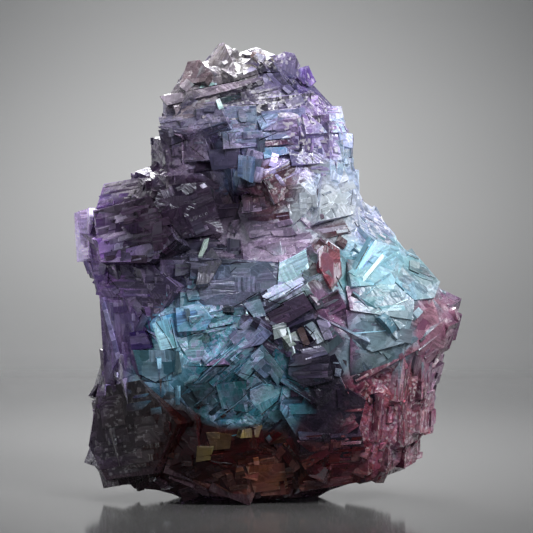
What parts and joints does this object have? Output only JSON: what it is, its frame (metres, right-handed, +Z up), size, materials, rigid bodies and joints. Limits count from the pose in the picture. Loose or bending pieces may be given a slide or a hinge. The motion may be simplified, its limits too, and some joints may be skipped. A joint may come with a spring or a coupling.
{
  "type": "fluorite cluster",
  "caption": "Cluster of intergrown cubic fluorite crystals, purple, teal and pink, tall and broad-shouldered, standing upright on a flat cut base.",
  "frame": {"origin": "on the floor plane, under the middle of the cluster's bounding box", "axes": "+Z up, from the cut base to the tip; the side seen in the picture faces -Y, and +X is to its right"},
  "size_m": [0.0848, 0.0498, 0.0998],
  "materials": {
    "fluorite": "translucent fluorite with glassy to frosted cleavage faces, zoned in purple, teal, pale blue, pink and smoky brown"
  },
  "bodies": {
    "root": {"fluorite_cluster": "fluorite"}
  },
  "joints": []
}
